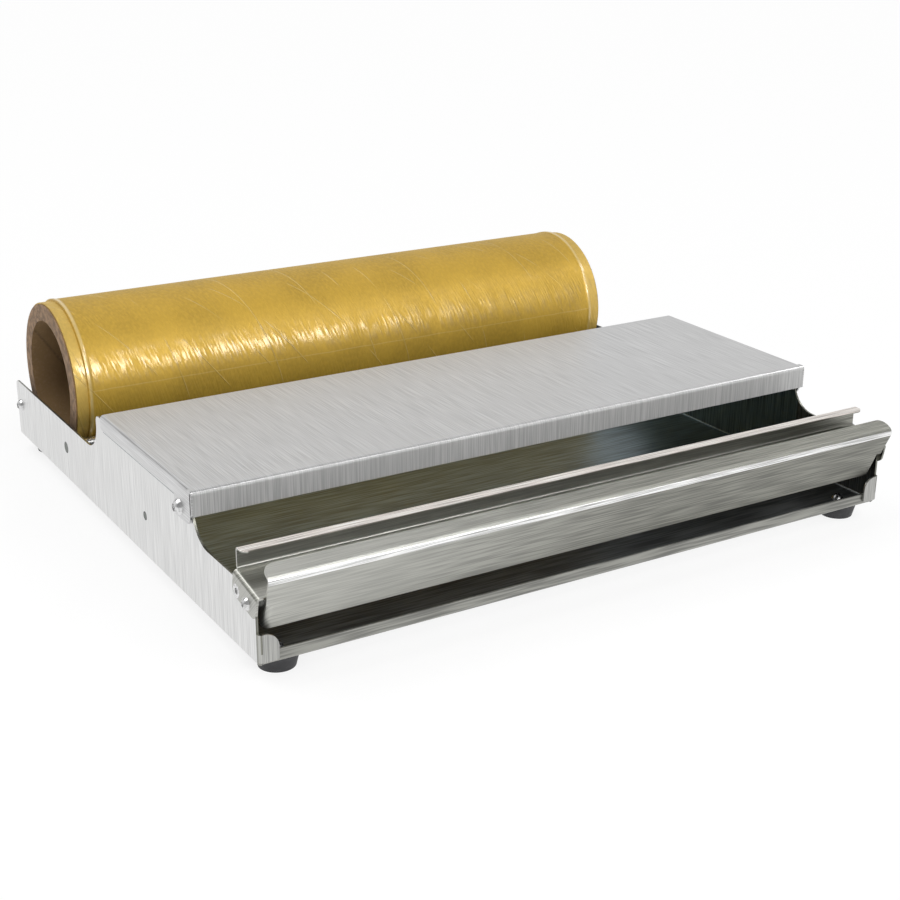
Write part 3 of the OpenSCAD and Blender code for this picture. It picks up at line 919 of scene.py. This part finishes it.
class DISPENSER_OT_fasteners(bpy.types.Operator):
    """Polishes the screws, nuts and spacers, and paints shade on the foot screws"""

    bl_idname = "dispenser.fasteners"
    bl_label = "Screws and nuts"

    def execute(self, context):
        steel = context.scene.dispenser_steel
        rgb = steel.fastener_colour
        graph = Graph(bpy.data.materials.new("fastener_steel"))
        height = graph.places()[2]
        # Painted shade: the foot screws on the tray's floor are painted darker
        on_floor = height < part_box("foot_screws")[1].z + FOOT_SCREW_MARGIN
        wear = graph.grains(steel.wear_size, detail=4.0)
        worn = graph.tint(graph.ramp(wear, start=0.4, end=0.7), colour(rgb), shaded(rgb, 0.7))
        material = graph.finish(
            Base_Color=graph.tint(on_floor, worn, shaded(rgb, steel.foot_screw_painted_shade)),
            Metallic=1.0,
            Roughness=graph.blend(wear, start=0.16, end=0.32),
            Normal=graph.bump(wear, steel.wear_depth, 0.2),
        )
        dress(
            material, "worktop_screws", "worktop_spacers", "worktop_nuts", "film_rest_screws",
            "film_rest_nuts", "pivot_screws", "pivot_spacers", "pivot_nuts", "back_rod_screws",
            "foot_screws", "foot_nuts",
        )
        return {"FINISHED"}


class DISPENSER_OT_core(bpy.types.Operator):
    """Winds the card core's plies, with a spiral seam on its faces and torn spots on its ends"""

    bl_idname = "dispenser.core"
    bl_label = "Card core"

    def execute(self, context):
        roll = context.scene.dispenser_roll
        graph = Graph(bpy.data.materials.new("card"))
        back, up = about_axis(graph, "card_core")
        low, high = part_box("card_core")
        along = graph.places()[0] - (low.x + high.x) / 2.0
        out = span(back, up)
        turn = up.math("ARCTAN2", back)
        at_end = abs(along) > (high.x - low.x) / 2.0 - CARD_END_DEPTH
        fibres = graph.grains(roll.fibre, detail=4.0)
        mottle = graph.grains(roll.mottle, detail=2.0)
        tears = graph.noise(out / roll.tear_width, turn / roll.tear_turn, TEAR_SLICE, detail=3.0)
        plies = (out / roll.ply + fibres * 0.5).math("FRACT")
        ply_edge = graph.ramp(abs(plies - 0.5), start=0.3, end=0.5)
        seam = ((turn * roll.seam_rise + along) / roll.seam_pitch).math("FRACT")
        seam_line = graph.ramp(abs(seam - 0.5), start=0.48, end=0.5)
        plain_face = graph.shades(mottle, roll.card_colour, dark=0.85, light=1.2)
        face = graph.tint(seam_line * 0.6, plain_face, shaded(roll.card_colour, 0.5))
        torn = graph.shades(graph.ramp(tears, start=0.35, end=0.65), roll.card_end, dark=0.6, light=1.2)
        end = graph.tint(ply_edge * 0.6, torn, shaded(roll.card_end, 0.45))
        base = graph.tint(at_end, face, end)
        pale_fibres = graph.ramp(fibres, start=0.45, end=0.75) * 0.35
        height = fibres * 0.5 - ply_edge * at_end * 0.6 - seam_line * 0.5
        material = graph.finish(
            Base_Color=graph.tint(pale_fibres, base, shaded(roll.card_end, 1.25)),
            Metallic=0.0,
            Roughness=graph.blend(fibres, start=0.75, end=0.95),
            Normal=graph.bump(height, roll.fibre_depth, 0.6),
        )
        dress(material, "card_core")
        return {"FINISHED"}


def turned_places(first, second, angle):
    """Two measures on a surface, turned by an angle."""
    cos, sin = math.cos(angle), math.sin(angle)
    return first * cos + second * sin, second * cos - first * sin


def creases(graph, roll, along, across, noise_slice):
    """Straight thin creases of random place and length, from 0 to 1."""
    step = across / roll.crease_gap
    cell = step.math("FLOOR")
    place = graph.add("TexWhiteNoise", {"noise_dimensions": "1D"}, {"W": cell + noise_slice})
    offset = abs(step.math("FRACT") - graph.blend(place, start=0.15, end=0.85))
    line = graph.ramp(offset * roll.crease_gap, roll.crease_width, 0.0)
    reach = graph.noise(along / roll.crease_length, cell * CREASE_SHIFT, noise_slice, detail=0.0)
    return line * graph.ramp(reach, start=0.5, end=0.62)


class DISPENSER_OT_film(bpy.types.Operator):
    """Wraps the roll in taut glossy film with slanting wrinkles, clear rims and a free end, with painted
    shade towards the top and painted highlights on creases, rims and free end
    """

    bl_idname = "dispenser.film"
    bl_label = "Film"

    def execute(self, context):
        roll = context.scene.dispenser_roll
        graph = Graph(bpy.data.materials.new("film"))
        x = graph.places()[0]
        back, up = about_axis(graph, "film_winding")
        radius = outer_radius("film_winding")
        turn = (-back).math("ARCTAN2", up)
        arc = turn * radius

        # Relief: wrinkle strokes, slack folds, grain and two runs of creases
        along, across = turned_places(x, arc, roll.wrinkle_slant)
        strokes = graph.noise(across / roll.wrinkle, along / roll.wrinkle_length, STROKE_SLICE)
        slack = graph.noise(across / roll.slack_width, along / roll.slack_length, SLACK_SLICE)
        grain = graph.noise(x / roll.grain_width, arc / roll.grain_length, GRAIN_SLICE, detail=3.0)
        steep = creases(graph, roll, along, across, STEEP_SLICE)
        along, across = turned_places(x, arc, roll.crease_slant)
        crease = steep | creases(graph, roll, along, across, SLANT_SLICE)
        height = strokes * 0.5 + slack * 0.6 + crease * 0.35 + grain * 0.06

        # Where the rims, the sleeve beyond them, the free end and the loose film lie
        beyond = abs(x) - roll.film_width / 2.0
        sleeve = beyond > 0.0
        rim = graph.ramp(abs(beyond + roll.rim), roll.rim, roll.rim * 0.3)
        from_end = abs(turn - roll.end_turn - slack * roll.end_wander) * radius
        end = graph.ramp(from_end, roll.end_width, 0.0)
        loose = graph.ramp(abs(turn - roll.loose_turn), roll.loose_width, roll.loose_width * 0.4)
        patches = graph.ramp(strokes * 0.7 + slack * 0.3, start=0.44, end=0.64)

        # Golden film, darker in clouds and with painted shade towards the top, paler on its grain, and
        # paler on creases, rims and the free end with painted highlights
        cloud = graph.noise(x / roll.cloud_width, arc / roll.cloud_length, CLOUD_SLICE, detail=3.0)
        # Painted shade: the film is darker towards the top and lighter towards the front, besides its
        # random clouds
        depth = graph.ramp(cloud, start=0.3, end=0.7) * 0.5 + graph.ramp(turn, start=-0.3, end=0.9) * 0.5
        base = graph.shades(depth, roll.film_colour, dark=0.76, light=1.12)
        pale_grain = graph.ramp(grain, start=0.35, end=0.7) * 0.4
        grained = graph.tint(pale_grain, base, shaded(roll.film_colour, 1.3))
        # Pale rims are a painted glint, pale creases and free end are partly paler film and partly
        # painted highlight, and the paler sleeve is the film's own
        pale = crease * 0.3 | rim * 0.45 | end * 0.3 | sleeve * 0.25
        clear = patches * graph.blend(loose, start=0.05, end=0.9) | crease * 0.4 | rim | end * 0.4
        material = graph.finish(
            Base_Color=graph.tint(pale, grained, colour(roll.film_pale_and_glint)),
            Metallic=roll.lustre,
            Roughness=graph.blend(patches * loose, start=0.5, end=0.3),
            Specular_IOR_Level=0.8,
            Specular_Tint=colour(roll.gloss_colour),
            Coat_Weight=clear,
            Coat_IOR=2.0,
            Coat_Roughness=0.22,
            Normal=graph.bump(height, roll.wrinkle_depth, 0.8),
        )
        dress(material, "film_winding")
        return {"FINISHED"}


class DISPENSER_OT_feet(bpy.types.Operator):
    """Makes the feet of matt black rubber"""

    bl_idname = "dispenser.feet"
    bl_label = "Feet"

    def execute(self, context):
        rubber = context.scene.dispenser_rubber
        graph = Graph(bpy.data.materials.new("rubber"))
        x, y, z = graph.places()
        width = rubber.dust_width
        specks = graph.grains(rubber.grain, detail=3.0)
        dust = graph.noise(x / width, y / width, z / rubber.dust_height, detail=3.0)
        dusty = graph.ramp(dust, start=0.5, end=0.8)
        material = graph.finish(
            Base_Color=graph.shades(dusty, rubber.rubber_colour, dark=1.0, light=2.0),
            Metallic=0.0,
            Roughness=graph.blend(specks, start=0.45, end=0.7),
            Normal=graph.bump(specks, rubber.grain_depth, 0.5),
        )
        dress(material, "front_left_foot", "front_right_foot", "back_left_foot", "back_right_foot")
        return {"FINISHED"}


def area_light(scene, name, place, target, size, power):
    """A soft rectangular light that faces a target."""
    lamp = bpy.data.lights.new(name, "AREA")
    lamp.shape = "RECTANGLE"
    lamp.size, lamp.size_y = size
    lamp.energy = power
    holder = bpy.data.objects.new(name, lamp)
    holder.location = place
    aim = Vector(target) - Vector(place)
    holder.rotation_euler = aim.to_track_quat("-Z", "Y").to_euler()
    scene.collection.objects.link(holder)


def camera_turns(stage):
    """The camera's right, up and back directions as the columns of a matrix."""
    flat = math.cos(stage.camera_height)
    back = Vector((
        math.sin(stage.camera_turn) * flat,
        -math.cos(stage.camera_turn) * flat,
        math.sin(stage.camera_height),
    ))
    right = Vector((0.0, 0.0, 1.0)).cross(back).normalized()
    up = back.cross(right)
    cos, sin = math.cos(stage.camera_roll), math.sin(stage.camera_roll)
    columns = (right * cos + up * sin, up * cos - right * sin, back)
    return Matrix(columns).transposed()


class DISPENSER_OT_stage(bpy.types.Operator):
    """Sets the floor, the studio light and the camera"""

    bl_idname = "dispenser.stage"
    bl_label = "Stage"

    def execute(self, context):
        scene = context.scene
        stage = scene.dispenser_stage
        self.floor(scene, stage)
        self.room(scene, stage)
        self.lamps(scene, stage)
        self.camera(scene, stage)
        scene.view_settings.view_transform = "Standard"
        return {"FINISHED"}

    def floor(self, scene, stage):
        """A wide pale floor that shows white to the camera and in reflections."""
        reach = stage.floor_reach
        signs = ((-1, -1), (1, -1), (1, 1), (-1, 1))
        corners = [(reach * right, reach * back, 0.0) for right, back in signs]
        mesh = bpy.data.meshes.new("floor")
        mesh.from_pydata(corners, [], [(0, 1, 2, 3)])
        floor = bpy.data.objects.new("floor", mesh)
        scene.collection.objects.link(floor)
        graph = Graph(bpy.data.materials.new("floor"))
        x, y = graph.places()[:2]
        away = graph.ramp(span(x, y), stage.near_floor, stage.far_floor)
        share = graph.blend(away, stage.near_glow, stage.far_glow)
        matt = graph.add("BsdfDiffuse", sockets={"Color": colour(stage.floor_colour)})
        glow = graph.add("Emission", sockets={"Color": WHITE, "Strength": 1.0})
        surface = graph.add("MixShader", sockets={0: self.seen_rays(graph) * share, 1: matt, 2: glow})
        graph.add("OutputMaterial", sockets={"Surface": surface})
        mesh.materials.append(graph.owner)

    def seen_rays(self, graph):
        """1 for rays from the camera, and for reflected and refracted ones."""
        camera = graph.add("LightPath", output="Is Camera Ray")
        outputs = camera.socket.node.outputs
        glossy = Value(graph, outputs["Is Glossy Ray"])
        through = Value(graph, outputs["Is Transmission Ray"])
        return camera | glossy | through

    def room(self, scene, stage):
        """A plain white room, brighter at the back, with one small dark flag."""
        world = bpy.data.worlds.new("room")
        scene.world = world
        graph = Graph(world)
        x, y, z = graph.split(graph.add("TexCoord", output="Generated"))
        level = graph.blend(graph.ramp(y, start=-0.3, end=0.6), stage.room_front, stage.room_back)
        towards_flag = x * stage.flag[0] + y * stage.flag[1] + z * stage.flag[2]
        strength = level * (1.0 - graph.ramp(towards_flag, start=0.97, end=0.99))
        room = graph.add("Background", sockets={"Color": WHITE, "Strength": strength})
        graph.add("OutputWorld", sockets={"Surface": room})

    def lamps(self, scene, stage):
        """A long front light, a key light overhead, and a strip that draws the folds."""
        target = stage.light_target
        area_light(scene, "front_light", stage.front_place, target, stage.front_size, stage.front_power)
        area_light(scene, "key_light", stage.key_place, target, stage.key_size, stage.key_power)
        area_light(scene, "strip_light", stage.strip_place, target, stage.strip_size, stage.strip_power)

    def camera(self, scene, stage):
        """The camera, at the photograph's place and angle."""
        lens = bpy.data.cameras.new("camera")
        lens.lens = stage.lens
        lens.sensor_width = SENSOR_WIDTH
        lens.clip_start = stage.near_limit
        lens.dof.use_dof = False
        holder = bpy.data.objects.new("camera", lens)
        holder.matrix_world = Matrix.Translation(stage.camera_place) @ camera_turns(stage).to_4x4()
        scene.collection.objects.link(holder)
        scene.camera = holder


OPERATORS = (
    DISPENSER_OT_tray,
    DISPENSER_OT_worktop,
    DISPENSER_OT_rails,
    DISPENSER_OT_rods,
    DISPENSER_OT_fasteners,
    DISPENSER_OT_core,
    DISPENSER_OT_film,
    DISPENSER_OT_feet,
    DISPENSER_OT_stage,
)

SETTINGS = {
    "dispenser_steel": SteelSettings,
    "dispenser_roll": RollSettings,
    "dispenser_rubber": RubberSettings,
    "dispenser_stage": StageSettings,
}


class VIEW3D_PT_dispenser(bpy.types.Panel):
    """Settings and builders of the dispenser"""

    bl_idname = "VIEW3D_PT_dispenser"
    bl_label = "Cling film dispenser"
    bl_space_type = "VIEW_3D"
    bl_region_type = "UI"
    bl_category = "Dispenser"

    def draw(self, context):
        for key, group in SETTINGS.items():
            box = self.layout.box()
            for name in group.__annotations__:
                box.prop(getattr(context.scene, key), name)
        for operator in OPERATORS:
            self.layout.operator(operator.bl_idname)


def register():
    """Adds the settings, the operators and the panel to Blender."""
    for key, group in SETTINGS.items():
        bpy.utils.register_class(group)
        setattr(bpy.types.Scene, key, bpy.props.PointerProperty(type=group))
    for operator in OPERATORS:
        bpy.utils.register_class(operator)
    bpy.utils.register_class(VIEW3D_PT_dispenser)


def unregister():
    """Takes them out again."""
    bpy.utils.unregister_class(VIEW3D_PT_dispenser)
    for operator in reversed(OPERATORS):
        bpy.utils.unregister_class(operator)
    for key, group in SETTINGS.items():
        delattr(bpy.types.Scene, key)
        bpy.utils.unregister_class(group)


def main():
    """Builds the looks."""
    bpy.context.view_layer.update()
    register()
    for operator in OPERATORS:
        group, name = operator.bl_idname.split(".")
        getattr(getattr(bpy.ops, group), name)()


if __name__ == "__main__":
    main()
